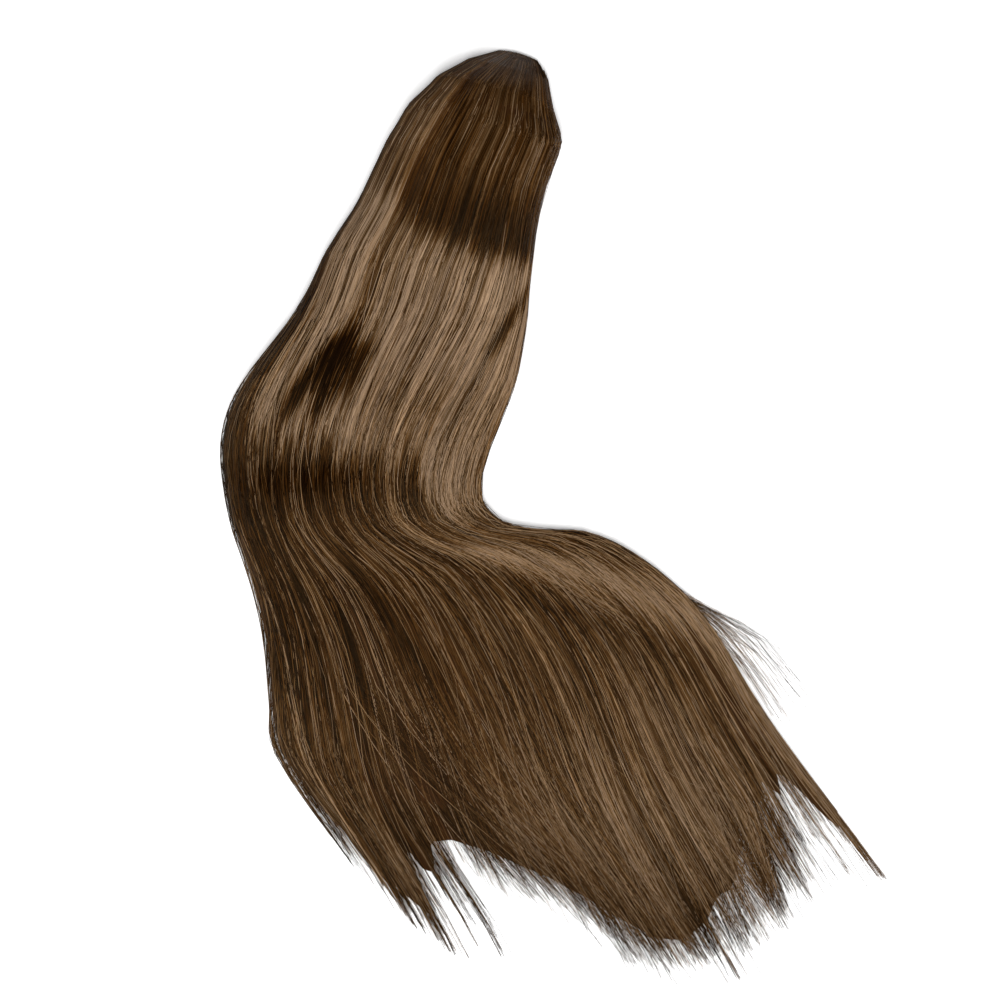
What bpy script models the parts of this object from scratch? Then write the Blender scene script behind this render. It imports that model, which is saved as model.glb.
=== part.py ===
"""Claw clip ponytail lying on a table: a plain toothed claw under a dome of hair, and three wefts that
fall from it, bend to the right and fan out into free locks.

Metres, +Z up. +Y points from the tips towards the claw and +X to the right, seen from above.
The origin is on the table, under the middle of the piece's box.
"""

import math

import bpy
import numpy as np

# How finely the curves are divided
COLUMNS_PER_LOCK = 4
HEAD_STATIONS = 12
FALL_STATIONS = 30
LOCK_STATIONS = 5
CLAW_SEGMENTS = 21
TOOTH_SEGMENTS = 6

# Clearances
GAP = 0.0003
CLAW_ROOM = 0.0012

# Claw
CLAW_LENGTH = 0.070
CLAW_WIDTH = 0.046
CLAW_HEIGHT = 0.036
CLAW_WALL = 0.0026
SPINE_WALL = 0.0042
CLAW_LIFT = 0.0004
CLAW_ASIDE = 0.004
MOUTH_ANGLE = math.radians(16)
TEETH = 6
TOOTH_WIDTH = 0.0078
TOOTH_TIP_WIDTH = 0.0028

# Head: the hair that covers the claw
HAIR_OVER = 0.0110
HAIR_SIDE = 0.0183
HAIR_END = 0.025
HEAD_LEAN = math.radians(15)

# Fall: the hair below the claw
FALL_LENGTH = 0.368
FALL_WIDTH = 0.330
EDGE_THICKNESS = 0.0012
UNDERSIDE_BLEND = 0.014
LOCK_RELIEF = 0.0017
LOCK_TIP_SHARE = 0.16

# What follows from the sizes above
HEAD_LENGTH = HAIR_END + CLAW_LENGTH
HEAD_WIDTH = CLAW_WIDTH + 2 * (CLAW_ROOM + HAIR_SIDE)
CLAW_TOP = CLAW_LIFT + CLAW_HEIGHT
CLAW_REACH = math.pi - MOUTH_ANGLE
CLAW_TURN = 2 * CLAW_REACH / CLAW_SEGMENTS
CLAW_HALF_HEIGHT = CLAW_HEIGHT / (math.cos(CLAW_TURN / 2) + math.cos(MOUTH_ANGLE))
CLAW_MIDDLE = CLAW_LIFT + CLAW_HALF_HEIGHT * math.cos(MOUTH_ANGLE)
HOLLOW_HEIGHT = CLAW_TOP + GAP
HOLLOW_HALF_WIDTH = CLAW_WIDTH / 2 + CLAW_ROOM
HOLLOW_START = HAIR_END - CLAW_ROOM
HOLLOW_END = HAIR_END + CLAW_LENGTH + CLAW_ROOM
CROWN_HEIGHT = HOLLOW_HEIGHT + HAIR_OVER

# Sections of the head, in shares of HEAD_LENGTH, HEAD_WIDTH and CROWN_HEIGHT.
# Columns: along the leaning axis, left edge, right edge, height.
HEAD_SECTIONS = (
    (0.004, -0.060, 0.190, 0.11),
    (0.030, -0.125, 0.235, 0.31),
    (0.075, -0.195, 0.270, 0.50),
    (0.150, -0.295, 0.305, 0.73),
    (0.240, -0.380, 0.360, 0.88),
    (0.350, -0.455, 0.440, 0.96),
    (0.475, -0.510, 0.447, 0.99),
    (0.630, -0.553, 0.424, 1.00),
    (0.790, -0.585, 0.430, 1.00),
    (0.975, -0.624, 0.456, 0.98),
)

# Sections of the fall from the head's lower end, in shares of FALL_WIDTH to the right,
# FALL_LENGTH downwards and CROWN_HEIGHT. The bow is how far a section's middle runs ahead.
# Columns: left edge right, left edge down, right edge right, right edge down, bow, height.
FALL_SECTIONS = (
    (-0.198, 0.018, 0.109, 0.070, 0.000, 0.93),
    (-0.239, 0.094, 0.106, 0.113, 0.000, 0.79),
    (-0.282, 0.145, 0.100, 0.152, 0.000, 0.66),
    (-0.322, 0.192, 0.090, 0.198, 0.000, 0.54),
    (-0.348, 0.236, 0.073, 0.241, 0.000, 0.45),
    (-0.359, 0.287, 0.052, 0.287, 0.000, 0.38),
    (-0.354, 0.344, 0.038, 0.336, 0.000, 0.39),
    (-0.342, 0.396, 0.049, 0.376, 0.000, 0.39),
    (-0.325, 0.440, 0.102, 0.396, 0.000, 0.37),
    (-0.307, 0.491, 0.200, 0.400, 0.012, 0.34),
    (-0.292, 0.556, 0.291, 0.441, 0.030, 0.31),
    (-0.285, 0.627, 0.375, 0.512, 0.055, 0.28),
    (-0.268, 0.705, 0.473, 0.652, 0.090, 0.23),
    (-0.163, 0.847, 0.640, 0.853, 0.150, 0.16),
)
BEND_INDEX = 5
SPLIT_INDEX = -2

# Wefts from left to right. Reach is each lock's length past the row where the locks part,
# in shares of the way from that row to the last one.
# Columns: name, share of the width where it starts, where it ends, reach of its locks.
WEFTS = (
    ("left_fall", 0.00, 0.33, (0.75, 1.00, 1.14, 0.72, 0.97)),
    ("middle_fall", 0.33, 0.70, (0.55, 0.62, 0.72, 0.85, 0.97, 1.08)),
    ("right_fall", 0.70, 1.00, (1.00, 0.86, 0.76, 0.80, 1.00)),
)

# Hollows pressed into the top of the hair, in shares of FALL_LENGTH below the head's end, of the
# width across, and of CROWN_HEIGHT. Columns: down, across, half length, half width, depth.
HOLLOWS = (
    (0.200, 0.32, 0.065, 0.10, 0.085),
    (0.325, 0.30, 0.022, 0.22, 0.055),
    (0.110, 0.96, 0.040, 0.06, 0.080),
    (0.560, 0.40, 0.100, 0.05, 0.040),
)

HEAD_ROUNDNESS = 2.3
FALL_ROUNDNESS = 3.2
HOLLOW_UPRIGHT = 0.12

HAIR_BROWN = (0.066, 0.034, 0.012, 1.0)
CLAW_BROWN = (0.020, 0.011, 0.006, 1.0)

DOWN_HEAD = np.array((-math.sin(HEAD_LEAN), -math.cos(HEAD_LEAN)))
ACROSS_HEAD = np.array((math.cos(HEAD_LEAN), -math.sin(HEAD_LEAN)))
HEAD_FOOT = HEAD_LENGTH * DOWN_HEAD


def hair_sections():
    """Every section from the crown to the tips: left x, y, right x, y, bow, height, and its place
    along the hair, counted from the crown down the head's axis and on through the sections' middles."""
    rows = []
    for along, left, right, height in HEAD_SECTIONS:
        down = along * HEAD_LENGTH * DOWN_HEAD
        left_point = down + left * HEAD_WIDTH * ACROSS_HEAD
        right_point = down + right * HEAD_WIDTH * ACROSS_HEAD
        rows.append((*left_point, *right_point, 0.0, height * CROWN_HEIGHT))
    for left_x, left_y, right_x, right_y, bow, height in FALL_SECTIONS:
        left_point = HEAD_FOOT + (left_x * FALL_WIDTH, -left_y * FALL_LENGTH)
        right_point = HEAD_FOOT + (right_x * FALL_WIDTH, -right_y * FALL_LENGTH)
        rows.append((*left_point, *right_point, bow * FALL_LENGTH, height * CROWN_HEIGHT))
    rows = np.array(rows)
    in_head = np.array([section[0] * HEAD_LENGTH for section in HEAD_SECTIONS])
    middles = (rows[:, 0:2] + rows[:, 2:4]) / 2
    steps = np.linalg.norm(np.diff(middles[len(in_head) - 1 :], axis=0), axis=1)
    return rows, np.concatenate((in_head, in_head[-1] + np.cumsum(steps)))


ROWS, PLACES = hair_sections()
BEND_PLACE = PLACES[len(HEAD_SECTIONS) + BEND_INDEX]
SPLIT_PLACE = PLACES[SPLIT_INDEX]
LAST_PLACE = PLACES[-1]


def slopes():
    """The change of each row's values along the hair, from its neighbours on both sides."""
    ahead = np.minimum(np.arange(len(PLACES)) + 1, len(PLACES) - 1)
    behind = np.maximum(np.arange(len(PLACES)) - 1, 0)
    return (ROWS[ahead] - ROWS[behind]) / (PLACES[ahead] - PLACES[behind])[:, None]


SLOPES = slopes()


def section_at(place):
    """The section at a place along the hair, on a smooth curve through the rows."""
    i = int(np.clip(np.searchsorted(PLACES, place) - 1, 0, len(PLACES) - 2))
    span = PLACES[i + 1] - PLACES[i]
    s = (place - PLACES[i]) / span
    if s > 1:
        return ROWS[-1] + SLOPES[-1] * (place - LAST_PLACE)
    start = (1 + 2 * s) * (1 - s) ** 2 * ROWS[i] + s * (1 - s) ** 2 * span * SLOPES[i]
    end = s * s * (3 - 2 * s) * ROWS[i + 1] + s * s * (s - 1) * span * SLOPES[i + 1]
    return start + end


def spread_at(place):
    """0 over the claw, where the hair is a round dome, and 1 from the bend on, where it lies flat."""
    s = np.clip((place - HEAD_LENGTH) / (BEND_PLACE - HEAD_LENGTH), 0, 1)
    return s * s * (3 - 2 * s)


def across_at(share, spread):
    """Where a share of the width lies, from -1 on the left edge to 1 on the right edge."""
    return spread * (2 * share - 1) - (1 - spread) * math.cos(math.pi * share)


def pressed(place, share):
    """How deep the hollows press the hair at a place, in metres."""
    depth = 0.0
    for down, across, half_length, half_width, share_deep in HOLLOWS:
        far = (place - HEAD_LENGTH - down * FALL_LENGTH) / (half_length * FALL_LENGTH)
        aside = (share - across) / half_width
        depth += share_deep * CROWN_HEIGHT * math.exp(-far * far - aside * aside)
    return depth


def top_point(place, share, relief=0.0, lower=1.0):
    """A point on the hair's upper surface. Relief stands out square to the section's outline."""
    left_x, left_y, right_x, right_y, bow, height = section_at(place)
    left, right = np.array((left_x, left_y)), np.array((right_x, right_y))
    width = np.linalg.norm(right - left)
    chord = (right - left) / width
    ahead = np.array((chord[1], -chord[0]))
    spread = spread_at(place)
    across = across_at(share, spread)
    roundness = HEAD_ROUNDNESS + (FALL_ROUNDNESS - HEAD_ROUNDNESS) * spread
    rise = (1 - min(abs(across), 1) ** roundness) ** (1 / roundness)
    out = math.copysign(abs(across) ** (roundness - 1), across) / width
    up = rise ** (roundness - 1) / (2 * height)
    out, up = np.array((out, up)) / math.hypot(out, up)
    plan = (left + right) / 2 + across * width / 2 * chord + bow * (1 - across * across) * ahead
    plan = plan + relief * out * chord
    edge = EDGE_THICKNESS * clear_of_hollow(place)
    z = edge + (height - edge) * rise * lower + relief * up * lower
    z = max(z - pressed(place, share) * rise, edge)
    return np.array((*plan, z)), chord


def clear_of_hollow(place):
    """0 beside the hollow, and 1 from UNDERSIDE_BLEND before and after it."""
    away = max(HOLLOW_START - place, place - HOLLOW_END, 0.0)
    s = min(away / UNDERSIDE_BLEND, 1.0)
    return s * s * (3 - 2 * s)


def hollow_outline(share):
    """The hollow over the claw: upright sides and an arch. It gives how far aside and how high."""
    upright = min(share, 1 - share) / HOLLOW_UPRIGHT
    if upright < 1:
        return math.copysign(HOLLOW_HALF_WIDTH, share - 0.5), upright * CLAW_MIDDLE
    turn = math.pi * ((share - HOLLOW_UPRIGHT) / (1 - 2 * HOLLOW_UPRIGHT) - 0.5)
    rise = (HOLLOW_HEIGHT - CLAW_MIDDLE) * math.cos(turn)
    return HOLLOW_HALF_WIDTH * math.sin(turn), CLAW_MIDDLE + rise


def bottom_point(place, share, top):
    """A point on the underside: the hollow's arch over the claw, and the table everywhere else."""
    aside, height = hollow_outline(share)
    in_hollow = place * DOWN_HEAD + (aside - CLAW_ASIDE) * ACROSS_HEAD
    away = clear_of_hollow(place)
    plan = away * top[:2] + (1 - away) * in_hollow
    return np.array((*plan, height if HOLLOW_START <= place <= HOLLOW_END else 0.0))


def stations():
    """Places of the sections from the crown to where the locks part, closer at the hollow's ends."""
    step = CLAW_ROOM
    before = (PLACES[0], (PLACES[0] + HOLLOW_START) / 2 - step, HOLLOW_START - step)
    over = np.linspace(HOLLOW_START, HOLLOW_END, HEAD_STATIONS)
    after = np.linspace(HOLLOW_END + step, SPLIT_PLACE, FALL_STATIONS)
    return np.concatenate((before, over, after))


class Skin:
    """Points and triangles of one closed mesh."""

    def __init__(self):
        self.points, self.faces = [], []

    def point(self, place):
        self.points.append(tuple(place))
        return len(self.points) - 1

    def quad(self, a, b, c, d, turned=False):
        """Two triangles that meet on the line from a to c."""
        for face in ((a, b, c), (a, c, d)):
            self.faces.append(face[::-1] if turned else face)

    def wall(self, top, bottom, turned):
        for k in range(len(top) - 1):
            self.quad(top[k], bottom[k], bottom[k + 1], top[k + 1], turned)

    def sheet(self, top, bottom):
        """Top and underside of a strip of rows that run from left to right."""
        for k in range(len(top) - 1):
            for c in range(len(top[k]) - 1):
                self.quad(top[k][c], top[k + 1][c], top[k + 1][c + 1], top[k][c + 1])
                self.quad(bottom[k][c], bottom[k + 1][c], bottom[k + 1][c + 1], bottom[k][c + 1], True)

    def mesh(self, name):
        mesh = bpy.data.meshes.new(name)
        mesh.from_pydata(self.points, [], self.faces)
        mesh.validate()
        return mesh


def ridge(q):
    """Outline of one lock across its width, q from 0 to 1."""
    return math.sin(math.pi * q) ** 0.6


def lock_stand(number):
    """How proud a lock stands beside its neighbours, the same on each run."""
    return 0.65 + 0.7 * ((number * 0.618) % 1)


def add_row(skin, place, shares, reliefs, shifts, lower=1.0, flattened=None):
    """One row of top and underside points, with its ends moved aside by the gap to the neighbours."""
    tops, bottoms = [], []
    for c, (share, relief, shift) in enumerate(zip(shares, reliefs, shifts)):
        level = lower * (flattened[c] if flattened else 1.0)
        top, chord = top_point(place, share, relief, level)
        bottom = bottom_point(place, share, top)
        aside = np.array((*(shift * chord), 0.0))
        tops.append(skin.point(top + aside))
        bottoms.append(skin.point(bottom + aside))
    return tops, bottoms


def weft_mesh(name, first, last, reaches, number):
    """A weft: one body from the crown to where its locks part, and a tapering end for each lock."""
    skin = Skin()
    locks = len(reaches)
    count = COLUMNS_PER_LOCK
    shares = [first + (last - first) * c / (locks * count) for c in range(locks * count + 1)]
    stands = [ridge(c % count / count) * lock_stand(number + c // count) for c in range(len(shares))]
    shifts = [0.0] * len(shares)
    shifts[0] = GAP / 2 if first > 0 else 0.0
    shifts[-1] = -GAP / 2 if last < 1 else 0.0
    reliefs = [LOCK_RELIEF * stand for stand in stands]
    rows = [add_row(skin, place, shares, reliefs, shifts) for place in stations()]
    top, bottom = [row[0] for row in rows], [row[1] for row in rows]
    skin.sheet(top, bottom)
    for c in range(locks * count):
        skin.quad(top[0][c], top[0][c + 1], bottom[0][c + 1], bottom[0][c])
    skin.wall([row[0] for row in top], [row[0] for row in bottom], False)
    skin.wall([row[-1] for row in top], [row[-1] for row in bottom], True)
    for lock in range(locks):
        columns = slice(lock * count, lock * count + count + 1)
        ends = lock_end(skin, shares[columns], reliefs[columns], shifts[columns], reaches[lock])
        lock_top = [top[-1][columns], *(row[0] for row in ends)]
        lock_bottom = [bottom[-1][columns], *(row[1] for row in ends)]
        skin.sheet(lock_top, lock_bottom)
        skin.wall([row[0] for row in lock_top], [row[0] for row in lock_bottom], False)
        skin.wall([row[-1] for row in lock_top], [row[-1] for row in lock_bottom], True)
        for c in range(count):
            tip_top, tip_bottom = lock_top[-1], lock_bottom[-1]
            skin.quad(tip_top[c], tip_bottom[c], tip_bottom[c + 1], tip_top[c + 1])
    return skin.mesh(name)


def lock_end(skin, shares, reliefs, shifts, reach):
    """The free end of a lock: it narrows and thins to its tip."""
    middle = (shares[0] + shares[-1]) / 2
    rows = []
    for k in range(1, LOCK_STATIONS + 1):
        s = k / LOCK_STATIONS
        narrow = 1 - (1 - LOCK_TIP_SHARE) * s**1.7
        place = SPLIT_PLACE + s * reach * (LAST_PLACE - SPLIT_PLACE)
        drawn_in = [middle + (share - middle) * narrow for share in shares]
        edges = [2 * c / (len(shares) - 1) - 1 for c in range(len(shares))]
        flattened = [1 - 0.5 * s * edge * edge for edge in edges]
        raised = [relief * (1 - s) for relief in reliefs]
        rows.append(add_row(skin, place, drawn_in, raised, shifts, 1 - 0.6 * s, flattened))
    return rows


def claw_outline():
    """Outer and inner points of the claw's cross-section, from the left tips over the spine."""
    outer, inner = [], []
    for j in range(CLAW_SEGMENTS + 1):
        turn = CLAW_TURN * j - CLAW_REACH
        near_spine = max(0.0, math.cos(turn)) ** 6
        near_tip = max(0.0, -math.cos(turn)) ** 3
        wall = CLAW_WALL * (1 - 0.35 * near_tip) + (SPINE_WALL - CLAW_WALL) * near_spine
        for points, less in ((outer, 0.0), (inner, wall)):
            x = (CLAW_WIDTH / 2 - less) * math.sin(turn)
            z = CLAW_MIDDLE + (CLAW_HALF_HEIGHT - less) * math.cos(turn)
            points.append((x, z))
    return outer, inner


def tooth_half_width(j):
    """Half the width of a tooth at a point of the outline: full in the jaw, narrow at the tip."""
    from_tip = min(j, CLAW_SEGMENTS - j)
    s = min(from_tip / TOOTH_SEGMENTS, 1.0)
    return (TOOTH_TIP_WIDTH + (TOOTH_WIDTH - TOOTH_TIP_WIDTH) * s) / 2


def claw_mesh():
    """Both jaws and the spine as one bent sheet with slots between the teeth."""
    skin = Skin()
    outer, inner = claw_outline()
    pitch = (CLAW_LENGTH - TOOTH_WIDTH) / (TEETH - 1)
    edges = []
    for tooth in range(TEETH):
        middle = tooth * pitch - (CLAW_LENGTH - TOOTH_WIDTH) / 2
        edges += [(middle, -1), (middle, 1)]

    def grid(outline):
        return [
            [skin.point((x, middle + side * tooth_half_width(j), z)) for j, (x, z) in enumerate(outline)]
            for middle, side in edges
        ]

    def solid(i, j):
        if not (0 <= i < len(edges) - 1 and 0 <= j < CLAW_SEGMENTS):
            return False
        in_jaw = TOOTH_SEGMENTS <= j < CLAW_SEGMENTS - TOOTH_SEGMENTS
        return in_jaw or i % 2 == 0

    out, within = grid(outer), grid(inner)
    for i in range(len(edges) - 1):
        for j in range(CLAW_SEGMENTS):
            if not solid(i, j):
                continue
            skin.quad(out[i][j], out[i][j + 1], out[i + 1][j + 1], out[i + 1][j])
            skin.quad(within[i][j], within[i][j + 1], within[i + 1][j + 1], within[i + 1][j], True)
            rims = (
                ((i, j - 1), (i + 1, j), (i, j)),
                ((i, j + 1), (i, j + 1), (i + 1, j + 1)),
                ((i - 1, j), (i, j), (i, j + 1)),
                ((i + 1, j), (i + 1, j + 1), (i + 1, j)),
            )
            for beside, (a, b), (c, d) in rims:
                if not solid(*beside):
                    skin.quad(out[a][b], within[a][b], within[c][d], out[c][d])
    return skin.mesh("claw_clip")


def finish(name, colour, roughness):
    material = bpy.data.materials.new(name)
    material.use_nodes = True
    shader = material.node_tree.nodes["Principled BSDF"]
    shader.inputs["Base Color"].default_value = colour
    shader.inputs["Roughness"].default_value = roughness
    shader.inputs["Metallic"].default_value = 0.0
    material.diffuse_color = colour
    return material


def place_piece(mesh, material, root):
    piece = bpy.data.objects.new(mesh.name, mesh)
    bpy.context.scene.collection.objects.link(piece)
    mesh.materials.append(material)
    mesh.shade_smooth()
    mesh.set_sharp_from_angle(angle=math.radians(40))
    piece.parent = root
    return piece


def clear_scene():
    for thing in list(bpy.data.objects):
        bpy.data.objects.remove(thing, do_unlink=True)


def main():
    clear_scene()
    root = bpy.data.objects.new("ponytail", None)
    bpy.context.scene.collection.objects.link(root)
    hair = finish("brown hair", HAIR_BROWN, 0.45)
    plastic = finish("brown plastic", CLAW_BROWN, 0.35)
    number = 0
    corners = []
    for name, first, last, reaches in WEFTS:
        mesh = weft_mesh(name, first, last, reaches, number)
        number += len(reaches)
        place_piece(mesh, hair, root)
        corners += [vertex.co[:] for vertex in mesh.vertices]
    claw = place_piece(claw_mesh(), plastic, root)
    claw_middle = (HAIR_END + CLAW_LENGTH / 2) * DOWN_HEAD - CLAW_ASIDE * ACROSS_HEAD
    claw.location = (*claw_middle, 0.0)
    claw.rotation_euler.z = -HEAD_LEAN
    corners = np.array(corners)
    centre = (corners.min(axis=0) + corners.max(axis=0)) / 2
    root.location = (-centre[0], -centre[1], 0.0)


main()
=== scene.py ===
"""Looks of a claw clip ponytail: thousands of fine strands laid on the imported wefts, and its plastic claw.

Metres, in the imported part's frame: +Z up, +Y from the tips towards the claw.
"""

import math

import bpy
import numpy as np
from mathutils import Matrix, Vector


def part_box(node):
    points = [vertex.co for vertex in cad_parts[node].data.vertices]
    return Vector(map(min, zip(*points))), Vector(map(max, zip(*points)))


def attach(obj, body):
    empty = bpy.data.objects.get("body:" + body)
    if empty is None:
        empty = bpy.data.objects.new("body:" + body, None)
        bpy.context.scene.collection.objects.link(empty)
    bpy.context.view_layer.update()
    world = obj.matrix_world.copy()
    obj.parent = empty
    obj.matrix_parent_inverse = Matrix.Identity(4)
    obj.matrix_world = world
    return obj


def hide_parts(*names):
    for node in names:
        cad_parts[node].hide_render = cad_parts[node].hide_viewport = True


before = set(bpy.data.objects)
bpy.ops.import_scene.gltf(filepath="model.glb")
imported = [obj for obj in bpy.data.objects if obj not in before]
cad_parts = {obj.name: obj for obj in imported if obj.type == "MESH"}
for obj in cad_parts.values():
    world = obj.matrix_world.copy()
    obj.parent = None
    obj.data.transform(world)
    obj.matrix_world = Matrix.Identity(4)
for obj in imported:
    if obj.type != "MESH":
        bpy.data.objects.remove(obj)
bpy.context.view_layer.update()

# The wefts' sizes, as the part has them
CLAW_LENGTH = 0.070
CLAW_WIDTH = 0.046
CLAW_HEIGHT = 0.036
CLAW_LIFT = 0.0004
CLAW_ASIDE = 0.004
CLAW_ROOM = 0.0012
HAIR_OVER = 0.0110
HAIR_SIDE = 0.0183
HAIR_END = 0.025
HEAD_LEAN = math.radians(15)
FALL_LENGTH = 0.368
FALL_WIDTH = 0.330
HEAD_LENGTH = HAIR_END + CLAW_LENGTH
HEAD_WIDTH = CLAW_WIDTH + 2 * (CLAW_ROOM + HAIR_SIDE)
HOLLOW_HEIGHT = CLAW_LIFT + CLAW_HEIGHT + 0.0003
HOLLOW_HALF_WIDTH = CLAW_WIDTH / 2 + CLAW_ROOM
HOLLOW_START = HAIR_END - CLAW_ROOM
HOLLOW_END = HAIR_END + CLAW_LENGTH + CLAW_ROOM
CROWN_HEIGHT = HOLLOW_HEIGHT + HAIR_OVER
HEAD_ROUNDNESS = 2.3
FALL_ROUNDNESS = 3.2
EDGE_THICKNESS = 0.0012
CROWN_BOW = 0.0012
TIP_FLATTER = 0.7

# Head: along its leaning axis, left edge, right edge, height
HEAD_SECTIONS = (
    (0.004, -0.060, 0.190, 0.11),
    (0.030, -0.125, 0.235, 0.31),
    (0.075, -0.195, 0.270, 0.50),
    (0.150, -0.295, 0.305, 0.73),
    (0.240, -0.380, 0.360, 0.88),
    (0.350, -0.455, 0.440, 0.96),
    (0.475, -0.510, 0.447, 0.99),
    (0.630, -0.553, 0.424, 1.00),
    (0.790, -0.585, 0.430, 1.00),
    (0.975, -0.624, 0.456, 0.98),
)

# Fall: left edge right, left edge down, right edge right, right edge down, bow, height
FALL_SECTIONS = (
    (-0.198, 0.018, 0.109, 0.070, 0.000, 0.93),
    (-0.239, 0.094, 0.106, 0.113, 0.000, 0.79),
    (-0.282, 0.145, 0.100, 0.152, 0.000, 0.66),
    (-0.322, 0.192, 0.090, 0.198, 0.000, 0.54),
    (-0.348, 0.236, 0.073, 0.241, 0.000, 0.45),
    (-0.359, 0.287, 0.052, 0.287, 0.000, 0.38),
    (-0.354, 0.344, 0.038, 0.336, 0.000, 0.39),
    (-0.342, 0.396, 0.049, 0.376, 0.000, 0.39),
    (-0.325, 0.440, 0.102, 0.396, 0.000, 0.37),
    (-0.307, 0.491, 0.200, 0.400, 0.012, 0.34),
    (-0.292, 0.556, 0.291, 0.441, 0.030, 0.31),
    (-0.285, 0.627, 0.375, 0.512, 0.055, 0.28),
    (-0.268, 0.705, 0.473, 0.652, 0.090, 0.23),
    (-0.163, 0.847, 0.640, 0.853, 0.150, 0.16),
)
BEND_INDEX = 5
SPLIT_INDEX = -2

# Wefts: the node, and where it starts and ends across the hair
WEFTS = (("left_fall", 0.00, 0.33), ("middle_fall", 0.33, 0.70), ("right_fall", 0.70, 1.00))

# How far down the hair its strands reach: across, place
STRAND_TIPS = (
    (0.000, 0.455),
    (0.030, 0.459),
    (0.060, 0.469),
    (0.150, 0.477),
    (0.182, 0.470),
    (0.186, 0.438),
    (0.212, 0.440),
    (0.216, 0.462),
    (0.248, 0.462),
    (0.252, 0.425),
    (0.300, 0.417),
    (0.370, 0.420),
    (0.467, 0.431),
    (0.522, 0.441),
    (0.572, 0.454),
    (0.607, 0.462),
    (0.650, 0.466),
    (0.690, 0.464),
    (0.712, 0.468),
    (0.735, 0.464),
    (0.745, 0.458),
    (0.790, 0.462),
    (0.862, 0.455),
    (0.866, 0.451),
    (0.948, 0.453),
    (0.952, 0.448),
    (0.964, 0.448),
    (0.968, 0.466),
    (1.000, 0.467),
)

# Locks that end in a point: from, to and point across the hair, and how long the taper is
POINTED_LOCKS = (
    (-0.30, 0.045, 0.040, 0.15),
    (0.045, 0.184, 0.135, 0.15),
    (0.214, 0.250, 0.290, 0.15),
    (0.600, 0.675, 0.652, 0.05),
    (0.675, 0.742, 0.712, 0.05),
    (0.742, 0.864, 0.785, 0.07),
    (0.864, 0.897, 0.858, 0.09),
    (0.897, 0.948, 0.906, 0.09),
    (0.948, 0.966, 0.942, 0.09),
    (0.966, 0.982, 0.975, 0.06),
    (0.982, 1.300, 0.998, 0.06),
)
USUAL_TAPER = 0.15

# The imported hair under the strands: where it starts to split, and how far it reaches (across, place)
BODY_SPLIT = 0.385
BODY_ENDS = (
    (0.000, 0.388),
    (0.030, 0.425),
    (0.060, 0.445),
    (0.100, 0.458),
    (0.150, 0.463),
    (0.175, 0.440),
    (0.184, 0.416),
    (0.196, 0.430),
    (0.215, 0.430),
    (0.235, 0.424),
    (0.250, 0.411),
    (0.300, 0.407),
    (0.370, 0.410),
    (0.467, 0.421),
    (0.522, 0.431),
    (0.572, 0.443),
    (0.610, 0.451),
    (0.650, 0.454),
    (0.690, 0.451),
    (0.712, 0.449),
    (0.735, 0.444),
    (0.755, 0.441),
    (0.775, 0.441),
    (0.800, 0.436),
    (0.830, 0.427),
    (0.862, 0.412),
    (0.884, 0.406),
    (0.900, 0.416),
    (0.924, 0.407),
    (0.940, 0.417),
    (0.956, 0.408),
    (0.966, 0.412),
    (0.984, 0.443),
    (1.000, 0.436),
)

# Dips in the hair's top: down, across, half length, half width, depth
DIPS = (
    (0.215, 0.30, 0.050, 0.10, 0.140),
    (0.325, 0.30, 0.022, 0.22, 0.055),
    (0.110, 0.96, 0.040, 0.06, 0.080),
    (0.560, 0.40, 0.100, 0.05, 0.040),
)

# Strands: a tube's radius and sides, the share of its thickness lost at the tip, and its room over the table
STRAND_RADIUS = 0.00019
TUBE_SIDES = 3
TIP_THINNING = 0.5
GROUND_ROOM = 0.0002

# Cells of the strands' UV map: columns, and the room left free at each side of a cell
UV_COLUMNS = 40.0
CELL_SIDE = 0.15
CELL_END = 0.04

# The surface that the strands follow: its room beside the hair as a share of the width, its length past the
# split as a share of the last stretch, its columns on the hair and beside it, and its rows
SIDE_ROOM = 0.25
LONGEST_REACH = 1.30
FLOW_COLUMNS = 121
FLOW_SIDE_COLUMNS = 12
FLOW_ROWS = 181

# Some middle strands turn towards one share of the width, between two places: how likely that is, how far
# they turn at least, and how much further at most
TURN_TO = 0.64
TURN_CHANCE = 0.62
TURN_SHARE = 0.35
TURN_MORE = 0.55
TURN_START = 0.320
TURN_END = 0.462

# Groups of strands that lie at slightly different angles
GROUPS = 46.0
GROUP_SPREAD = 0.13

# Tones of the strands: the mean, how far one strand may be above it, how much darker the deep ones are painted,
# as painted shade, and how much of these is left on the head
MEAN_TONE = 0.162
TONE_SPREAD = 0.64
DEEP_PAINTED_SHADE = 0.40
HEAD_CALM = 0.52

# Warmth of the strands, from ashy at 0 to golden at 1: the mean, how much ashier pale hair is, mostly the
# painted sheen, and how much less so in the fan
MEAN_WARMTH = 0.66
PALE_ASHY = 1.8
FAN_LESS_ASHY = 1.4

# Painted sheen: the hair between the two folds lies on a slope and is painted paler there, from one place to
# another
SHEEN_PAINT_START = ((0.00, 0.088), (0.15, 0.076), (0.30, 0.080), (0.42, 0.093), (0.60, 0.098), (1.00, 0.096))
SHEEN_PAINT_END = (
    (0.00, 0.196),
    (0.13, 0.204),
    (0.33, 0.213),
    (0.49, 0.220),
    (0.60, 0.219),
    (0.74, 0.217),
    (0.79, 0.250),
    (1.00, 0.249),
)
SHEEN_PAINT_CHANGE = 0.44
SHEEN_PAINT_FADE_IN = 0.009
SHEEN_PAINT_FADE_OUT = 0.007
LOCK_FADE_IN = 0.012
LOCK_FADE_OUT = 0.016

# Towards the tips, from one number down the hair to another, the strands get paler and ashier
TIPS_FROM = 0.72
TIPS_TO = 0.98
TIPS_PALER = 0.02
TIPS_ASHY = 0.45
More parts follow.
